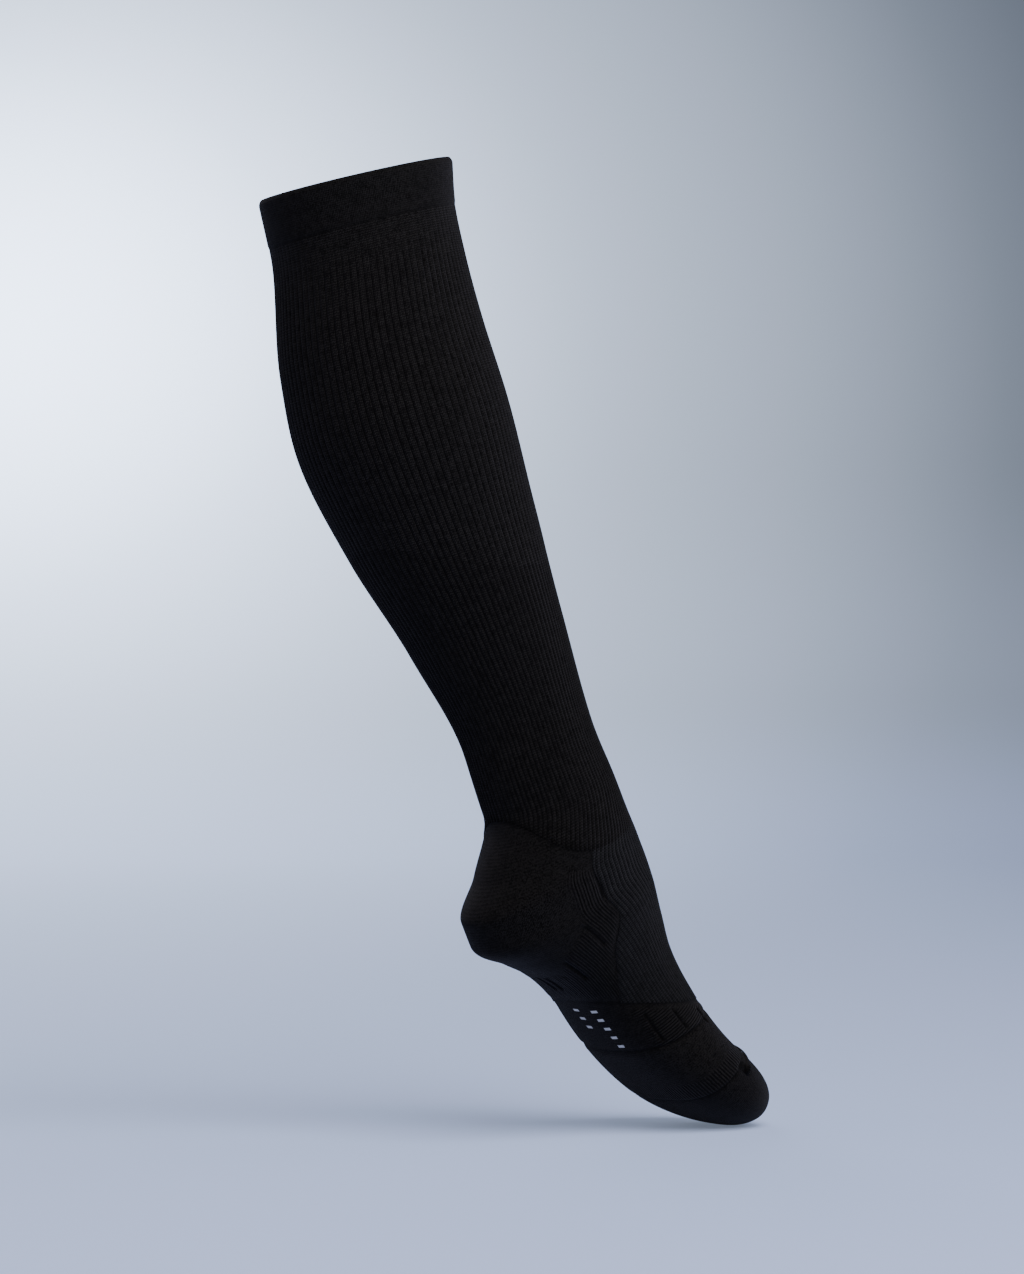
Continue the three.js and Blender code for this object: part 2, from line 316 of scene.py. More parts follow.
def math_chain(group):
    """Short way to add arithmetic nodes to a group: the inputs are numbers or other nodes' outputs."""
    def math_node(operation, *values):
        node = group.nodes.new("ShaderNodeMath")
        node.operation = operation
        for place, value in enumerate(values):
            if isinstance(value, (int, float)):
                node.inputs[place].default_value = value
            else:
                group.links.new(value, node.inputs[place])
        return node.outputs[0]
    return math_node


def fade_node(group, value, start, end):
    """1 at start and 0 at end, in a smooth step."""
    node = group.nodes.new("ShaderNodeMapRange")
    node.interpolation_type = "SMOOTHSTEP"
    group.links.new(value, node.inputs["Value"])
    for label, number in (("From Min", start), ("From Max", end), ("To Min", 1.0), ("To Max", 0.0)):
        node.inputs[label].default_value = number
    return node.outputs["Result"]


def attribute_node(group, label):
    node = group.nodes.new("ShaderNodeAttribute")
    node.attribute_name = label
    return node.outputs["Fac"]


def knit_group():
    """Stitches on the knit's own map: v-shaped loops in columns, gaps between ribs with painted shade,
    padding's ridges.

    Height is the relief, and Tone is how light the yarn shows, as painted shade and highlight: from 0 in the
    gaps to 1 on top of a loop.
    """
    leg_fullness = 0.7
    gap_dark_to = 0.03
    gap_ends_at = 0.2
    gap_depth = 0.8
    ridge_shade = 0.8
    ridge_depth = 1.1
    cloud_contrast = 1.4
    cloud_base = 0.3
    speckle_contrast = 2.0
    speckle_scale = 1300
    group = bpy.data.node_groups.new("knit stitches", "ShaderNodeTree")
    for label, value in (
        ("Wales Round", 2.0 * ribs_round),
        ("Courses Per Metre", 780.0),
        ("Slant", 0.5),
        ("Loop Depth", 0.42),
        ("Rib Gap", 0.0),
        ("Unevenness", 1.5),
        ("Mottle Scale", 260.0),
    ):
        socket = group.interface.new_socket(label, in_out="INPUT", socket_type="NodeSocketFloat")
        socket.default_value = value
    for label in ("Height", "Tone"):
        group.interface.new_socket(label, in_out="OUTPUT", socket_type="NodeSocketFloat")
    calc = math_chain(group)
    inputs = group.nodes.new("NodeGroupInput").outputs
    outputs = group.nodes.new("NodeGroupOutput").inputs
    knit_map = group.nodes.new("ShaderNodeUVMap")
    knit_map.uv_map = "knit"
    split = group.nodes.new("ShaderNodeSeparateXYZ")
    group.links.new(knit_map.outputs[0], split.inputs[0])
    share = split.outputs[0]
    down = split.outputs[1]
    # The loops: relief, and as tone a painted highlight on each loop with painted shade between loops.
    wale = calc("MULTIPLY", share, inputs["Wales Round"])
    off_middle = calc("ABSOLUTE", calc("SUBTRACT", calc("FRACT", wale), 0.5))
    legs = calc("SINE", calc("MULTIPLY", calc("FRACT", calc("MULTIPLY", wale, 2)), math.pi))
    legs = calc("POWER", calc("MAXIMUM", legs, 0.0), leg_fullness)
    course = calc("MULTIPLY", down, inputs["Courses Per Metre"])
    slanted = calc("ADD", course, calc("MULTIPLY", off_middle, calc("MULTIPLY", inputs["Slant"], 2)))
    loops = calc("COSINE", calc("MULTIPLY", slanted, 2 * math.pi))
    loops = calc("MULTIPLY", calc("SUBTRACT", loops, 1.0), inputs["Loop Depth"])
    stitch = calc("MULTIPLY", legs, calc("ADD", loops, 1.0))
    # Painted shade in the gaps between ribs, with a dip in the relief there.
    rib = calc("MULTIPLY", share, ribs_round)
    off_gap = calc("ABSOLUTE", calc("SUBTRACT", calc("FRACT", calc("ADD", rib, 0.5)), 0.5))
    gap = calc("MULTIPLY", fade_node(group, off_gap, gap_dark_to, gap_ends_at), inputs["Rib Gap"])
    gap = calc("MULTIPLY", gap, calc("SUBTRACT", 1.0, attribute_node(group, "plain")))
    # The padding's ridges: relief, and as tone painted shade in their valleys.
    ridge = calc("SINE", calc("MULTIPLY", attribute_node(group, "ridge_run"), 2 * math.pi))
    ridge = calc("MULTIPLY", ridge, attribute_node(group, "ridge_amount"))
    place = group.nodes.new("ShaderNodeTexCoord").outputs["Object"]
    mottle = group.nodes.new("ShaderNodeTexNoise")
    group.links.new(place, mottle.inputs["Vector"])
    group.links.new(inputs["Mottle Scale"], mottle.inputs["Scale"])
    mottle.inputs["Detail"].default_value = 1
    speckle = group.nodes.new("ShaderNodeTexNoise")
    group.links.new(place, speckle.inputs["Vector"])
    speckle.inputs["Scale"].default_value = speckle_scale
    speckle.inputs["Detail"].default_value = 0
    uneven = calc("MULTIPLY", calc("SUBTRACT", speckle.outputs["Fac"], 0.5), inputs["Unevenness"])
    cloudy = calc("MULTIPLY_ADD", mottle.outputs["Fac"], cloud_contrast, cloud_base)
    speckled = calc("MAXIMUM", calc("MULTIPLY_ADD", uneven, speckle_contrast, 1.0), 0.0)
    ridged = calc("MAXIMUM", calc("MULTIPLY_ADD", ridge, ridge_shade, 1.0), 0.0)
    tone = calc("MULTIPLY", stitch, speckled)
    tone = calc("MULTIPLY", tone, cloudy)
    tone = calc("MULTIPLY", tone, ridged)
    tone = calc("MULTIPLY", tone, calc("SUBTRACT", 1.0, gap))
    # Painted shade from each piece's dark marks: join lines, slots, creases, puckers, nub folds and the sole.
    tone = calc("MULTIPLY", tone, calc("SUBTRACT", 1.0, attribute_node(group, "dark")))
    height = calc("ADD", stitch, calc("MULTIPLY", ridge, ridge_depth))
    group.links.new(calc("SUBTRACT", height, calc("MULTIPLY", gap, gap_depth)), outputs["Height"])
    group.links.new(tone, outputs["Tone"])
    return group


knit_stitches = knit_group()


def knit_material(name, dark, light, depth, fuzz, **stitch):
    """A yarn of one kind, knitted: painted shade in the gaps, painted highlight on the loops, with a faint
    nap.
    """
    loop_height = 0.6 * MM
    material = bpy.data.materials.new(name)
    material.use_nodes = True
    nodes = material.node_tree.nodes
    links = material.node_tree.links
    shader = nodes["Principled BSDF"]
    shader.inputs["Roughness"].default_value = 0.85
    shader.inputs["Specular IOR Level"].default_value = 0.02
    shader.inputs["Sheen Weight"].default_value = fuzz
    shader.inputs["Sheen Roughness"].default_value = 0.45
    shader.inputs["Sheen Tint"].default_value = (0.8, 0.74, 0.82, 1)
    stitches = nodes.new("ShaderNodeGroup")
    stitches.node_tree = knit_stitches
    for label, value in stitch.items():
        stitches.inputs[label.replace("_", " ").title()].default_value = value
    yarn = nodes.new("ShaderNodeMix")
    yarn.name = "yarn"
    yarn.data_type = "RGBA"
    yarn.inputs["A"].default_value = (*dark, 1)
    yarn.inputs["B"].default_value = (*light, 1)
    links.new(stitches.outputs["Tone"], yarn.inputs["Factor"])
    links.new(yarn.outputs["Result"], shader.inputs["Base Color"])
    bump = nodes.new("ShaderNodeBump")
    bump.inputs["Strength"].default_value = depth
    bump.inputs["Distance"].default_value = loop_height
    links.new(stitches.outputs["Height"], bump.inputs["Height"])
    links.new(bump.outputs["Normal"], shader.inputs["Normal"])
    return material


def finish_piece(piece, material, node, flat):
    """Gives a piece its yarn, hangs it on the root body and hides the part it stands for; the size it was
    knitted to, flat, is not used.
    """
    piece.data.materials.clear()
    piece.data.materials.append(material)
    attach(piece, "root")
    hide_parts(node)


def level(value):
    """A line straight round the tube."""
    return lambda share: np.full_like(share, value)


def shifted(line, by):
    return lambda share: line(share) + by


def ramp(value, start, end):
    t = np.clip((value - start) / (end - start), 0, 1)
    return t * t * (3 - 2 * t)


def plateau(value, start, end, edge):
    """1 between start and end, with a soft edge inside each."""
    return ramp(value, start, start + edge) * (1 - ramp(value, end - edge, end))


def line_mark(distance, width):
    """1 on a line, falling off softly to almost nothing at two widths from it."""
    return np.exp(-(distance / width) ** 2)


def softness(at, share):
    """The slight unevenness of stretched cloth, about a fifth of a millimetre in or out."""
    wave_height = 0.1 * MM
    turn = 2 * math.pi * share
    wave = 0
    for size, times_round, turn_per_metre, shift in ((1, 3, 31, 0), (0.7, 5, -47, 1.3), (0.5, 2, 73, 0)):
        wave = wave + size * np.sin(times_round * turn + turn_per_metre * at + shift)
    return wave_height * wave


def welt_relief(at, share):
    roll = np.clip(1 - at / edge_roll_reach, 0, 1) ** 2
    hem = ramp(at, welt_height - hem_reach, welt_height)
    return welt_proud - edge_roll * roll - hem_step * hem + softness(at, share)


# Painted shade along the hem line, where the welt steps in to meet the calf.
def welt_dark(at, share):
    return join_shade * line_mark(at - welt_height, hem_line_width)


welt = knit_panel(
    "welt_band", columns=360, rows=60, place=band(level(0.0), level(welt_height - knit_join)),
    relief=welt_relief, wall=welt_thickness, fades=(("dark", welt_dark),),
)
welt_material = knit_material(
    "plain double knit", dark=(0.0009, 0.0008, 0.0008), light=(0.0104, 0.0095, 0.0095), depth=0.3, fuzz=0.045,
    courses_per_metre=900, slant=0.15, loop_depth=0.25, unevenness=1.2,
)
finish_piece(welt, welt_material, "welt", flat_size(0, welt_height))

# Calf. The wide-ribbed tube of covered elastic yarn is knitted on round from the welt. Two columns of
# stitches make a rib, with a narrow gap between ribs. The ribs are shallow under the welt, and draw
# together into finer ribs at the lower edge.
calf_measured_to = 206 * MM
rib_height = 0.55 * MM
rib_start = 0.3
rib_roundness = 1.3
ribs_full_at = 55 * MM
rib_gap_width = 0.15
rib_middle_groove = 0.16
rib_middle_width = 0.07
drawn_over = 16 * MM
calf_line_front = 224 * MM
calf_line_rise = 36 * MM
columns_per_rib = 8


def backness(share):
    """0 at the front of the leg and 1 at its back."""
    return (1 - np.cos(share * 2 * math.pi)) / 2


def calf_line(share):
    return calf_line_front - calf_line_rise * backness(share) ** 3


def fine_ribs(share):
    fine_height = 0.8 * rib_height
    place = share * ribs_round
    return fine_height * np.sin(math.pi * (place - np.floor(place))) ** rib_roundness


def calf_relief(at, share):
    place = share * ribs_round
    from_gap = np.abs(place - np.round(place))
    groove = rib_middle_groove * line_mark(from_gap - 0.5, rib_middle_width)
    wide = rib_height * (1 - line_mark(from_gap, rib_gap_width) - groove)
    wide *= rib_start + (1 - rib_start) * ramp(at, welt_height, ribs_full_at)
    drawn = ramp(at, calf_line(share) - drawn_over, calf_line(share))
    return wide + (fine_ribs(share) - wide) * drawn + softness(at, share)


def calf_plain(at, share):
    """How far the gaps between ribs are closed, just under the welt."""
    closed_at_welt = 0.8
    return closed_at_welt * (1 - ramp(at, welt_height + 2 * MM, ribs_full_at + 10 * MM))


calf = knit_panel(
    "calf_tube", columns=ribs_round * columns_per_rib, rows=44,
    place=band(level(welt_height + knit_join), shifted(calf_line, -knit_join)),
    relief=calf_relief, wall=leg_wall, fades=(("plain", calf_plain),),
)
calf_material = knit_material(
    "wide ribbed knit", dark=(0.0007, 0.0006, 0.0006), light=(0.0150, 0.0137, 0.0136), depth=0.4, fuzz=0.05,
    courses_per_metre=780, rib_gap=0.65, unevenness=1.3,
)
finish_piece(calf, calf_material, "calf", flat_size(welt_height, calf_measured_to))

# Lower leg. The same ribs of covered elastic yarn go on to the ankle, drawn in closer and rounder by a
# tighter knit. The tube ends in a line that is higher at the back, where the heel begins.
lower_leg_measured_to = 362 * MM
ankle_line_front = 373 * MM
ankle_line_rise = 30 * MM
ankle_line_width = 1.3 * MM


def ankle_line(share):
    return ankle_line_front - ankle_line_rise * backness(share) ** 3


def lower_leg_relief(at, share):
    return fine_ribs(share) + softness(at, share)


def ankle_dark(at, share):
    """Painted shade along the line under the ribs, which fades out over the instep."""
    around = ramp(backness(share), 0.15, 0.4)
    return 0.5 * around * line_mark(at - ankle_line(share), ankle_line_width)


lower_leg = knit_panel(
    "lower_leg_tube", columns=ribs_round * columns_per_rib, rows=44,
    place=band(shifted(calf_line, knit_join), shifted(ankle_line, -knit_join)),
    relief=lower_leg_relief, wall=leg_wall, fades=(("dark", ankle_dark),),
)
lower_leg_material = knit_material(
    "fine ribbed knit", dark=(0.0007, 0.0006, 0.0006), light=(0.0130, 0.0119, 0.0118), depth=0.35, fuzz=0.045,
    courses_per_metre=820, rib_gap=0.75, unevenness=1.2,
)
finish_piece(
    lower_leg, lower_leg_material, "lower_leg",
    flat_size(calf_measured_to, lower_leg_measured_to),
)

# Heel. A cup of thick plush yarn, looped inside, and knitted in as a pouch. A padded band runs down behind
# its front edge and under the foot, ridged along the tube and parted by short slots.
heel_border_rows = ((0, 0.25), (0.3, 0.235), (0.6, 0.3), (1, 0.37))
heel_measured_to = 450 * MM
heel_share = 0.5
border_gap = 0.0001
border_width = 0.006
arch_line_front = 490 * MM
arch_line_rise = 44 * MM
pad_height = 0.5 * MM
pad_edge = 0.016
pad_width_at_top = 0.055
pad_widening = 0.04
pad_strip_start = 0.05
pad_strip_end = 0.97
pad_strip_rounding = 0.08
sole_bar_start = 0.74
sole_bar_end = 0.99
sole_bar_rounding = 0.06
ridge_strength = 1.25
heel_ridges_round = 150
slot_width = 1.1 * MM
slot_clearing = 1.6 * MM
slot_shade = 0.85
slot_unpadded = 0.3
heel_slot_depth = 1.1 * MM
heel_girth = 250 * MM
heel_slots = ((0.243, 379, 395), (0.312, 399, 417), (0.4, 412, 431), (0.487, 422, 436))


def arch_line(share):
    return arch_line_front - arch_line_rise * backness(share)


def heel_border(down):
    """Where the heel's front edge lies: its share round from the front, by how far down the heel it is."""
    return smooth(*zip(*heel_border_rows), down)


def heel_place(round_share, down):
    border = heel_border(down) + border_gap
    share = border + (1 - 2 * border) * round_share
    top = ankle_line(share) + knit_join
    return top + (arch_line(share) - knit_join - top) * down, share


def heel_down(at, share):
    return (at - ankle_line(share)) / (arch_line(share) - ankle_line(share))


def slots(at, share, rows, width):
    """Short gaps in the padding: each row gives its share round, and where it starts and ends in mm."""
    side = np.minimum(np.abs(share) % 1, 1 - np.abs(share) % 1)
    cut = np.zeros_like(at)
    for centre, start, end in rows:
        across = (side - centre) * heel_girth
        cut = np.maximum(cut, line_mark(across, width) * plateau(at, start * MM, end * MM, 2 * MM))
    return cut


def heel_pad(at, share):
    """1 on the padded band and 0 off it: a strip behind the front edge, and a bar across the sole."""
    down = heel_down(at, share)
    inward = np.minimum(share, 1 - share) - heel_border(down)
    width = pad_width_at_top + pad_widening * ramp(down, 0.3, 0.8)
    around = ramp(inward, 0, pad_edge) * (1 - ramp(inward, width, width + pad_edge))
    strip = around * plateau(down, pad_strip_start, pad_strip_end, pad_strip_rounding)
    return np.maximum(strip, plateau(down, sole_bar_start, sole_bar_end, sole_bar_rounding))


def heel_relief(at, share):
    pad = heel_pad(at, share)
    cut = slots(at, share, heel_slots, slot_width) * (slot_unpadded + (1 - slot_unpadded) * pad)
    return pad_height * pad - heel_slot_depth * cut + softness(at, share)


def heel_ridge_run(at, share):
    return share * heel_ridges_round


def heel_ridge_amount(at, share):
    return ridge_strength * heel_pad(at, share) * (1 - slots(at, share, heel_slots, slot_clearing))


# Painted shade: along the heel's front edge, the arch line and the ankle line, and in the slots.
def heel_dark(at, share):
    down = heel_down(at, share)
    inward = np.minimum(share, 1 - share) - heel_border(down)
    edge = join_shade * line_mark(inward, border_width)
    arch = 0.7 * line_mark(at - arch_line(share), 1.4 * MM)
    cuts = slot_shade * slots(at, share, heel_slots, slot_width)
    return np.maximum.reduce([ankle_dark(at, share), edge, arch, cuts])


heel = knit_panel(
    "heel_cup", columns=210, rows=130, place=heel_place, relief=heel_relief, wall=plush_wall,
    fades=(("ridge_run", heel_ridge_run), ("ridge_amount", heel_ridge_amount), ("dark", heel_dark)),
)
plush_material = knit_material(
    "plush knit", dark=(0.0008, 0.0007, 0.0007), light=(0.0080, 0.0072, 0.0072), depth=0.45, fuzz=0.055,
    courses_per_metre=800, slant=0.25, loop_depth=0.2, unevenness=1.8, mottle_scale=330,
)
finish_piece(
    heel, plush_material, "heel",
    flat_size(lower_leg_measured_to, heel_measured_to, heel_share),
)

# Instep. A thin panel of blue-black elastic yarn over the front of the ankle, finely ribbed so that it
# bends. It is knitted in one with the tube, between the front edges of the heel.
instep_measured_from = 372 * MM
instep_measured_to = 480 * MM
instep_share = 0.52


def instep_place(round_share, down):
    border = heel_border(down) - border_gap
    share = -border + 2 * border * round_share
    top = ankle_line(share) + knit_join
    return top + (arch_line(share) - knit_join - top) * down, share


# Painted shade along the instep's edges by the heel and along the arch line.
def instep_dark(at, share):
    inward = heel_border(heel_down(at, share)) - np.abs(share)
    edge = line_mark(inward, border_width)
    return join_shade * np.maximum(edge, line_mark(at - arch_line(share), 1.2 * MM))


instep = knit_panel(
    "instep_panel", columns=420, rows=60, place=instep_place, relief=lower_leg_relief, wall=leg_wall,
    fades=(("dark", instep_dark),),
)
instep_material = knit_material(
    "thin blue-black knit", dark=(0.0012, 0.0012, 0.0013), light=(0.0166, 0.0162, 0.0173), depth=0.4,
    fuzz=0.045, courses_per_metre=820, rib_gap=0.95, unevenness=1.0,
)
finish_piece(
    instep, instep_material, "instep",
    flat_size(instep_measured_from, instep_measured_to, instep_share),
)

# Forefoot. The tube round the arch and the ball, of soft plush yarn and knitted on from the heel and the
# instep: ridged pads at its sides, a plain sole, and the thick ball under the toes' roots. Short ribs end
# at the toe line. The sole bears a few plain pale bars, knitted in.
forefoot_measured_from = 468 * MM
forefoot_measured_to = 525 * MM
forefoot_slots = ((0.258, 470, 486), (0.332, 463, 483), (0.18, 482, 496))
forefoot_girth = 220 * MM
side_pad_to = 0.34
side_pad_ends = 0.37
toe_line_front = 530 * MM
toe_line_rise = 10 * MM
toe_line_width = 0.9 * MM
ball_line_front = 494 * MM
ball_line_rise = 13 * MM
ridge_pitch = 1.5 * MM
comb_round = 112
comb_length = 13 * MM
comb_strength = 1.3
nub_share = 0.217
nub_past_line = 6 * MM
pucker_above_nub = 2.5 * MM
pucker_half_width = 3.6 * MM
pucker_half_length = 6.0 * MM
pucker_depth = 0.9 * MM
deep_shade = 0.9


def toe_line(share):
    return toe_line_front - toe_line_rise * backness(share)


def ball_line(share):
    return ball_line_front - ball_line_rise * backness(share)


def side_pad(at, share):
    """1 on the pads at the sides of the arch, from the arch line to the ball, and 0 on the sole."""
    side = np.minimum(share, 1 - share)
    off_sole = 1 - ramp(side, side_pad_to, side_pad_ends)
    past_arch = ramp(at - arch_line(share), 1 * MM, 6 * MM)
    return off_sole * past_arch * (1 - ramp(at - ball_line(share), -2 * MM, 1 * MM))


def comb(at, share):
    """The short ribs that end at the toe line."""
    return comb_strength * plateau(at - toe_line(share), -comb_length, 0.5 * MM, 2.5 * MM)


def nub_dark(at, share):
    """The pucker round each end of the toe seam: a dip in the cloth, and painted shade in it."""
    across = (np.minimum(share, 1 - share) - nub_share) * forefoot_girth
    along = at - toe_line(share) - nub_past_line + pucker_above_nub
    ring = np.hypot(across / pucker_half_width, along / pucker_half_length)
    return np.exp(-ring ** 4)


def toe_line_mark(at, share):
    return line_mark(at - toe_line(share), toe_line_width)


def forefoot_relief(at, share):
    cut_depth = 0.9 * MM
    ball = ramp(at - ball_line(share), 0, 4 * MM)
    pad = np.maximum(side_pad(at, share), ball) * (1 - 0.7 * toe_line_mark(at, share))
    crease = 0.3 * line_mark(at - ball_line(share), 1.2 * MM)
    cut = np.maximum(slots(at, share, forefoot_slots, 1.0 * MM), crease)
    pucker = pucker_depth * nub_dark(at, share)
    return pad_height * pad - cut_depth * cut - pucker + softness(at, share)


def forefoot_ridge_run(at, share):
    in_comb = at > toe_line(share) - comb_length - 1 * MM
    return np.where(in_comb, share * comb_round, at / ridge_pitch)


def forefoot_ridge_amount(at, share):
    pads = side_pad(at, share) * (1 - slots(at, share, forefoot_slots, slot_clearing))
    return np.maximum(ridge_strength * pads, comb(at, share))


# Painted shade in the slots, along the arch, ball and toe lines and round the nubs, and a faint painted shade
# over the sole up to the ball, on the underside turned away from the lights.
def forefoot_dark(at, share):
    zone_line_width = 1.3 * MM
    sole = ramp(backness(share), 0.55, 0.75) * (1 - ramp(at - ball_line(share), -3 * MM, 3 * MM))
    return np.maximum.reduce([
        slot_shade * slots(at, share, forefoot_slots, slot_width),
        0.7 * line_mark(at - arch_line(share), zone_line_width),
        0.8 * line_mark(at - ball_line(share), zone_line_width),
        deep_shade * toe_line_mark(at, share),
        deep_shade * nub_dark(at, share),
        0.3 * sole,
    ])


forefoot = knit_panel(
    "forefoot_tube", columns=300, rows=120,
    place=band(shifted(arch_line, knit_join), shifted(toe_line, -knit_join)),
    relief=forefoot_relief, wall=plush_wall,
    fades=(
        ("ridge_run", forefoot_ridge_run), ("ridge_amount", forefoot_ridge_amount), ("dark", forefoot_dark),
    ),
)
forefoot_material = knit_material(
    "soft sole knit", dark=(0.0008, 0.0007, 0.0007), light=(0.0096, 0.0085, 0.0081), depth=0.45, fuzz=0.055,
    courses_per_metre=800, slant=0.25, loop_depth=0.2, unevenness=1.7, mottle_scale=330,
)


def bars_group(rows, bar_width, bar_pitch):
    """A mask of short pale bars in rows down the sole: each row gives its share round, reach and ends."""
    group = bpy.data.node_groups.new("plain bars", "ShaderNodeTree")
    group.interface.new_socket("Mask", in_out="OUTPUT", socket_type="NodeSocketFloat")
    calc = math_chain(group)
    knit_map = group.nodes.new("ShaderNodeUVMap")
    knit_map.uv_map = "knit"
    split = group.nodes.new("ShaderNodeSeparateXYZ")
    group.links.new(knit_map.outputs[0], split.inputs[0])
    mask = None
    for share, reach, start, end in rows:
        across = calc("COMPARE", split.outputs[0], share, reach)
        middle = (start + end) / 2
        along = calc("COMPARE", split.outputs[1], middle * MM, (end - start) / 2 * MM)
        turn = calc("DIVIDE", calc("SUBTRACT", split.outputs[1], start * MM), bar_pitch)
        bar = calc("LESS_THAN", calc("FRACT", turn), bar_width / bar_pitch)
        row = calc("MULTIPLY", calc("MULTIPLY", across, along), bar)
        mask = row if mask is None else calc("MAXIMUM", mask, row)
    outputs = group.nodes.new("NodeGroupOutput").inputs
    group.links.new(mask, outputs["Mask"])
    return group


bar_rows = ((0.458, 0.011, 453, 479), (0.522, 0.009, 452, 466))
pale_yarn = (0.42, 0.41, 0.42, 1)
forefoot_nodes = forefoot_material.node_tree.nodes
forefoot_links = forefoot_material.node_tree.links
bars = forefoot_nodes.new("ShaderNodeGroup")
bars.node_tree = bars_group(bar_rows, bar_width=1.7 * MM, bar_pitch=6 * MM)
bar_yarn = forefoot_nodes.new("ShaderNodeMix")
bar_yarn.data_type = "RGBA"
bar_yarn.inputs["B"].default_value = pale_yarn
forefoot_links.new(bars.outputs["Mask"], bar_yarn.inputs["Factor"])
forefoot_links.new(forefoot_nodes["yarn"].outputs["Result"], bar_yarn.inputs["A"])
forefoot_links.new(bar_yarn.outputs["Result"], forefoot_nodes["Principled BSDF"].inputs["Base Color"])
finish_piece(
    forefoot, forefoot_material, "forefoot",
    flat_size(forefoot_measured_from, forefoot_measured_to),
)

# Toe. A cap of the same plush yarn as the heel, knitted on round from the toe line. It closes round the
# tips of the toes, and puckers at the ends of the seam.
toe_measured_to = 573 * MM
toe_groove_width = 1.5 * MM
even_from = 560 * MM
even_to = 575 * MM


def toe_place(round_share, down):
    top = toe_line(round_share) + knit_join
    return top + (tube_tip - top) * np.sin(down * math.pi / 2), round_share


def toe_relief(at, share):
    groove = 0.8 * line_mark(at - toe_line(share), toe_groove_width)
    pucker = pucker_depth * nub_dark(at, share)
    settled = softness(at, share) * (1 - ramp(at, even_from, even_to))
    return pad_height * (1 - groove) - pucker + settled


# Painted shade along the toe line and in the puckers at the seam's ends.
def toe_dark(at, share):
    return deep_shade * np.maximum(toe_line_mark(at, share), nub_dark(at, share))


toe = knit_panel(
    "toe_cap", columns=260, rows=80, place=toe_place, relief=toe_relief, wall=plush_wall,
    fades=(("dark", toe_dark),),
)
finish_piece(toe, plush_material, "toe", flat_size(forefoot_measured_to, toe_measured_to))

# Toe seam. The open end of the tube is linked shut over the toes, loop by loop, with the plush yarn.
# The links stand up as a thin ridge on the toe cap, and gather to a nub at each end.
seam_reach = 0.225
seam_length = 92 * MM
seam_past_line = 4.5 * MM
seam_span = 4 * MM
seam_thickness = 0.35 * MM
seam_above_cap = 0.25 * MM
seam_height = 0.7 * MM
nub_height = 1.4 * MM
link_height = 0.12 * MM
links_round = 150
nub_start = 0.036
nub_full = 0.018
end_rounding = 0.008
narrowest_stated = 10 * MM


def seam_place(round_share, down):
    share = seam_reach * (2 * round_share - 1)
    return toe_line(share) + seam_past_line + seam_span * down, share


def seam_relief(at, share):
    across = (at - toe_line(share) - seam_past_line) / seam_span - 0.5
    from_end = seam_reach - np.abs(share)
    nub = ramp(from_end, nub_start, nub_full) * ramp(from_end, 0.0, end_rounding)
    ridge = np.clip(1 - (2 * across) ** 2, 0, 1) ** 0.5
    links = link_height * np.sin(share * 2 * math.pi * links_round)
    return pad_height + seam_above_cap + (seam_height + nub_height * nub + links) * ridge


def seam_dark(at, share):
    """The shade in the folds of each nub."""
    from_end = seam_reach - np.abs(share)
    return 0.7 * (1 - ramp(from_end, 0.012, 0.03))


toe_seam = knit_panel(
    "toe_seam_ridge", columns=420, rows=14, place=seam_place, relief=seam_relief, wall=seam_thickness,
    fades=(("dark", seam_dark),),
)
finish_piece(
    toe_seam, plush_material, "toe_seam", (seam_length, narrowest_stated),
)

# Floor and backdrop. A plain studio sweep that rises behind the stocking on every side, pale on the floor and
# near black up the wall as painted shade. A soft glow of painted light, as emission, lies on its wall at the
# left, and a faint one on the floor.
floor_height = cad_box[0][2]
floor_radius = 3.2
sweep_radius = 1.8
sweep_steps = 12
wall_height = 4.0
floor_clearance = 0.2 * MM
floor_colour = (0.41, 0.495, 0.78, 1)
bend_colour = (0.22, 0.25, 0.33, 1)
bend_colour_at = 0.2
wall_colour = (0.045, 0.047, 0.053, 1)
wall_colour_at = 0.55
glow_left = 0.72
glow_height = 0.22
glow_reach = 2.0
glow_depth = 8.0
glow_flattening = 0.88
glow_strength = 6.0
glow_tint = (0.65, 0.77, 1.0)
glow_steps = (
    (0.0, 0.010), (0.23, 0.048), (0.41, 0.13), (0.57, 0.185), (0.74, 0.43), (0.88, 0.85), (1.0, 1.0),
)
bpy.ops.object.select_all(action="DESELECT")
bpy.ops.mesh.primitive_circle_add(vertices=128, radius=floor_radius, fill_type="TRIFAN", location=(0, 0, 0))
sweep = bpy.context.object
sweep.name = "studio_sweep"
bpy.ops.object.mode_set(mode="EDIT")
rim = bmesh.from_edit_mesh(sweep.data)
for edge in rim.edges:
    edge.select_set(edge.is_boundary)
last_radius = floor_radius
last_height = 0.0
for step in range(1, sweep_steps + 2):
    angle = min(step, sweep_steps) / sweep_steps * math.pi / 2
    radius = floor_radius + sweep_radius * math.sin(angle)
    height = sweep_radius * (1 - math.cos(angle)) + (wall_height if step > sweep_steps else 0)
    bpy.ops.mesh.extrude_region_move(TRANSFORM_OT_translate={"value": (0, 0, height - last_height)})
    bpy.ops.transform.resize(value=(radius / last_radius, radius / last_radius, 1), center_override=(0, 0, 0))
    last_radius = radius
    last_height = height
bpy.ops.object.mode_set(mode="OBJECT")
bpy.ops.object.shade_smooth()
sweep.location.z = floor_height - floor_clearance
bpy.ops.object.select_all(action="DESELECT")
sweep_material = bpy.data.materials.new("backdrop with painted glow")
sweep_material.use_nodes = True
sweep_nodes = sweep_material.node_tree.nodes
sweep_links = sweep_material.node_tree.links
sweep_shader = sweep_nodes["Principled BSDF"]
sweep_shader.inputs["Roughness"].default_value = 0.9
sweep_shader.inputs["Specular IOR Level"].default_value = 0.05
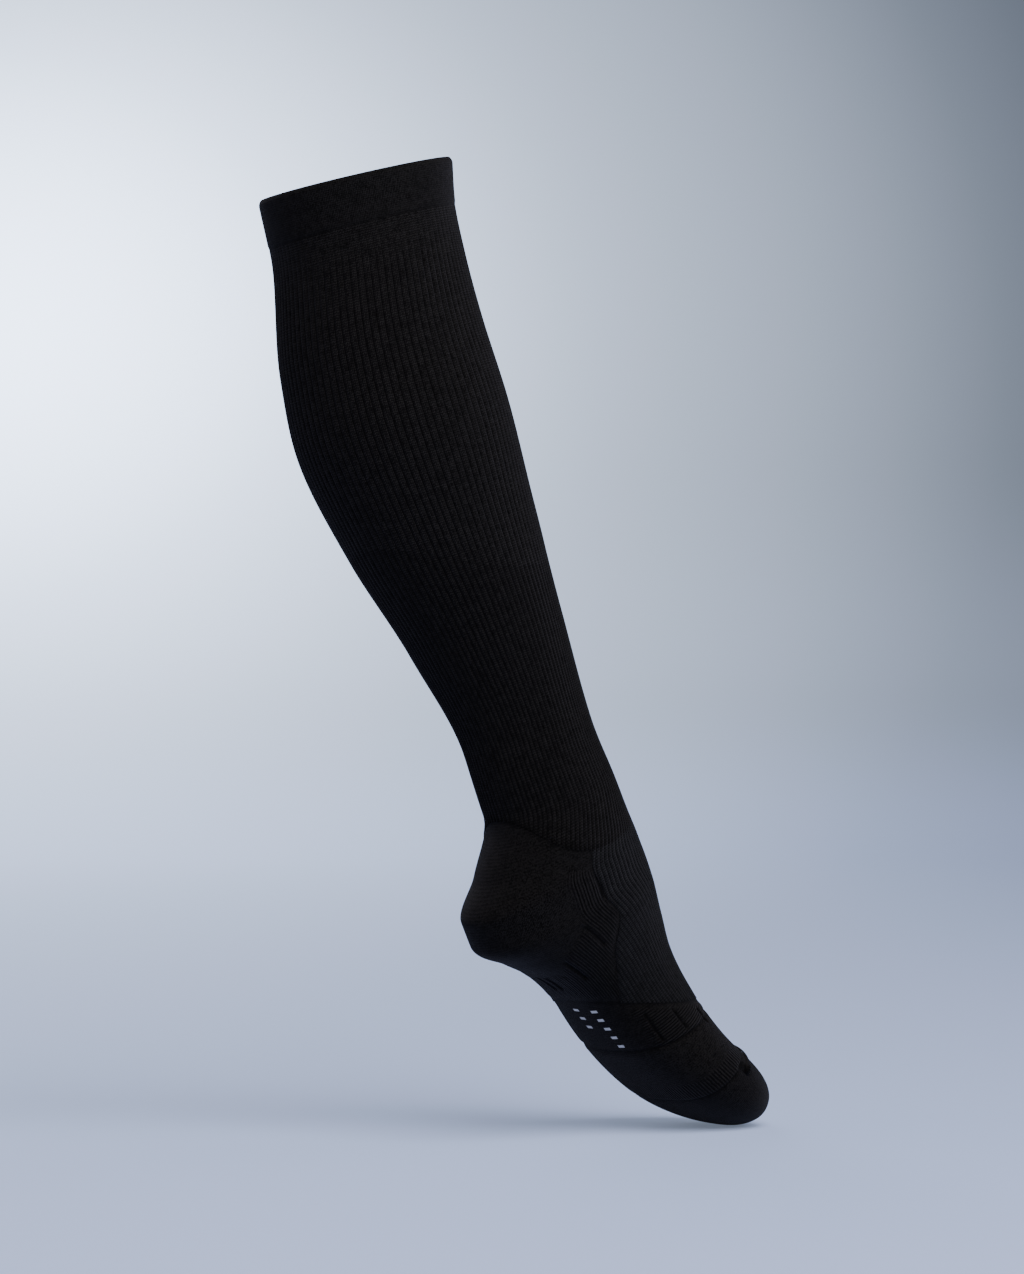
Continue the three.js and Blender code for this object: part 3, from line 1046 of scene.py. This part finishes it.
sweep_place = sweep_nodes.new("ShaderNodeTexCoord")
sweep_height = sweep_nodes.new("ShaderNodeSeparateXYZ")
sweep_links.new(sweep_place.outputs["Object"], sweep_height.inputs[0])
# The base colour by height: pale blue on the floor, darker at the bend, near black up the wall as painted
# shade, so the wall's light is the painted glow.
sweep_tint = sweep_nodes.new("ShaderNodeValToRGB")
sweep_tint.color_ramp.interpolation = "EASE"
sweep_tint.color_ramp.elements[0].color = floor_colour
sweep_tint.color_ramp.elements[1].color = wall_colour
sweep_tint.color_ramp.elements[1].position = wall_colour_at
sweep_tint.color_ramp.elements.new(bend_colour_at).color = bend_colour
sweep_links.new(sweep_height.outputs["Z"], sweep_tint.inputs["Fac"])
sweep_links.new(sweep_tint.outputs["Color"], sweep_shader.inputs["Base Color"])
# The painted glow: emission on the sweep, brightest on the wall at the left and faint everywhere else.
wall_distance = floor_radius + sweep_radius
glow_fit = sweep_nodes.new("ShaderNodeMapping")
glow_fit.vector_type = "TEXTURE"
glow_fit.inputs["Location"].default_value = (
    -glow_left * view_right - wall_distance * view_back + np.array([0, 0, glow_height - floor_height])
)
glow_fit.inputs["Rotation"].default_value = (0, 0, -camera_turn)
glow_fit.inputs["Scale"].default_value = (glow_reach, glow_depth, glow_flattening * glow_reach)
sweep_links.new(sweep_place.outputs["Object"], glow_fit.inputs["Vector"])
glow_ball = sweep_nodes.new("ShaderNodeTexGradient")
glow_ball.gradient_type = "SPHERICAL"
sweep_links.new(glow_fit.outputs[0], glow_ball.inputs["Vector"])
glow_fall = sweep_nodes.new("ShaderNodeValToRGB")
glow_fall.color_ramp.interpolation = "B_SPLINE"
while len(glow_fall.color_ramp.elements) < len(glow_steps):
    glow_fall.color_ramp.elements.new(0.5)
for element, (place, strength) in zip(glow_fall.color_ramp.elements, glow_steps):
    element.position = place
    element.color = (strength * glow_tint[0], strength * glow_tint[1], strength * glow_tint[2], 1)
sweep_links.new(glow_ball.outputs["Fac"], glow_fall.inputs["Fac"])
sweep_links.new(glow_fall.outputs["Color"], sweep_shader.inputs["Emission Color"])
sweep_shader.inputs["Emission Strength"].default_value = glow_strength
sweep_material.cycles.emission_sampling = "NONE"
sweep.data.materials.append(sweep_material)

# Lights. Large soft boxes out of the picture: two weak warm ones, low at the left and low in front, one
# behind at the right for the edge, one in front on the right, the main one above in front, and one that
# fills the backdrop. Each row places its box from the leg, as the camera sees it.
world = bpy.data.worlds.new("studio")
world.use_nodes = True
world.node_tree.nodes["Background"].inputs["Color"].default_value = (0.8, 0.82, 0.9, 1)
world.node_tree.nodes["Background"].inputs["Strength"].default_value = 0.14
bpy.context.scene.world = world
aim_point = np.array([0.09, -0.05, -0.25])
for name, right_by, forward_by, up_by, size, power, colour in (
    ("left_low", -1.8, 0.3, 0.1, 1.2, 5, (1.0, 0.72, 0.5)),
    ("front_low", 0.2, 2.0, 0.0, 0.9, 1.5, (1.0, 0.76, 0.58)),
    ("right_edge", 1.8, -0.7, 0.9, 1.4, 6, (1.0, 0.96, 0.98)),
    ("front_right", 1.6, 1.3, 0.4, 1.2, 12.5, (1.0, 0.99, 0.98)),
    ("key_above", 0.85, 1.7, 2.0, 2.4, 108, (1.0, 1.0, 1.0)),
    ("backdrop_fill", -1.3, -3.2, 2.2, 2.5, 30, (1.0, 1.0, 1.0)),
):
    light_data = bpy.data.lights.new(name, "AREA")
    light_data.shape = "SQUARE"
    light_data.size = size
    light_data.energy = power
    light_data.color = colour
    light = bpy.data.objects.new(name, light_data)
    bpy.context.scene.collection.objects.link(light)
    spot = aim_point + right_by * view_right + forward_by * view_back + np.array([0, 0, up_by])
    light.location = spot
    towards = aim_point - spot
    heading = math.atan2(towards[1], towards[0])
    drop = math.atan2(-towards[2], math.hypot(towards[0], towards[1]))
    light.rotation_euler = (math.pi / 2 - drop, 0, heading - math.pi / 2)
